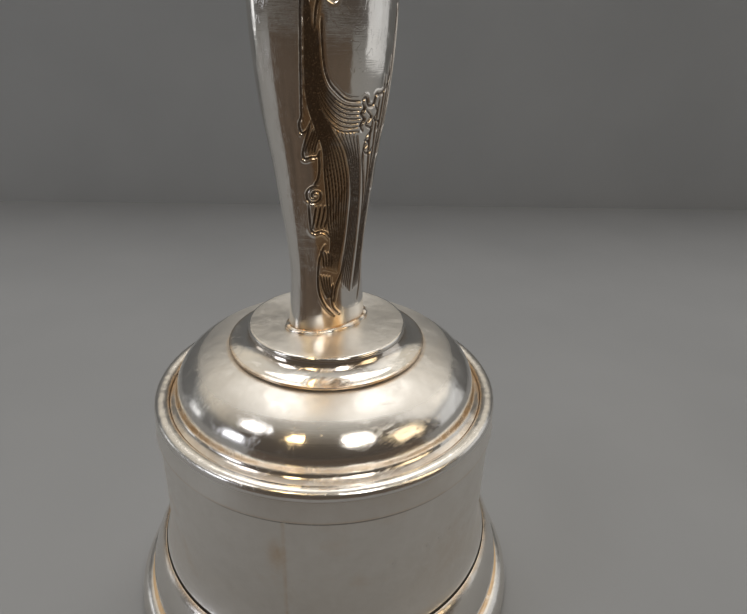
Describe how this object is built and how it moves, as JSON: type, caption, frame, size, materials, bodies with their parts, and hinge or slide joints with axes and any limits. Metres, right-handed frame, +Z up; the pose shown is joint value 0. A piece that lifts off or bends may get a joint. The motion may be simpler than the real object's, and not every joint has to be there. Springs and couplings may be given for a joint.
{
  "type": "hand bell rattle",
  "caption": "Silver hand-bell form baby rattle with an oval hollow handle, stepped collar, domed shoulder, flared foot and a hanging clapper.",
  "frame": {"origin": "centre of the foot ring's underside, on the bell's axis", "axes": "+Z up along the bell's axis and handle; the handle's broad faces look along -Y (front) and +Y (back)"},
  "size_m": [0.0554, 0.0554, 0.1074],
  "materials": {
    "body_silver": "satin silver with a vertical solder seam, light scratches and warm tarnish",
    "cap_silver": "silver with fine turning lines, satin above and polished below",
    "trim_silver": "polished silver wire and mouldings, worn",
    "collar_silver": "satin flat top, polished hollow side",
    "handle_silver": "polished silver, chased scrollwork with brown tarnish in the cuts",
    "inner_brass": "dull brass",
    "filler_pitch": "dark cast filler",
    "inner_steel": "dull drawn wire",
    "ball_brass": "silvered brass, rubbed"
  },
  "bodies": {
    "bell": {"bell_body": "body_silver", "shoulder_cap": "cap_silver", "shoulder_bead": "trim_silver", "foot_moulding": "trim_silver", "foot_ring": "trim_silver", "collar": "collar_silver", "handle_front_shell": "handle_silver", "handle_back_shell": "handle_silver", "handle_neck_plug": "inner_brass", "handle_filler": "filler_pitch", "crown_washer": "inner_brass", "eye_bolt": "inner_steel"},
    "link": {"clapper_link": "inner_steel"},
    "clapper": {"clapper_stem": "inner_steel", "clapper_ball": "ball_brass"}
  },
  "joints": [
    {"name": "link_swing", "type": "hinge", "parent": "bell", "child": "link", "pos_m": [0, 0, 0.033], "axis": [1, 0, 0], "range_deg": [-32, 32]},
    {"name": "clapper_swing", "type": "hinge", "parent": "link", "child": "clapper", "pos_m": [0, 0, 0.03], "axis": [0, 1, 0], "range_deg": [-24, 24]}
  ]
}
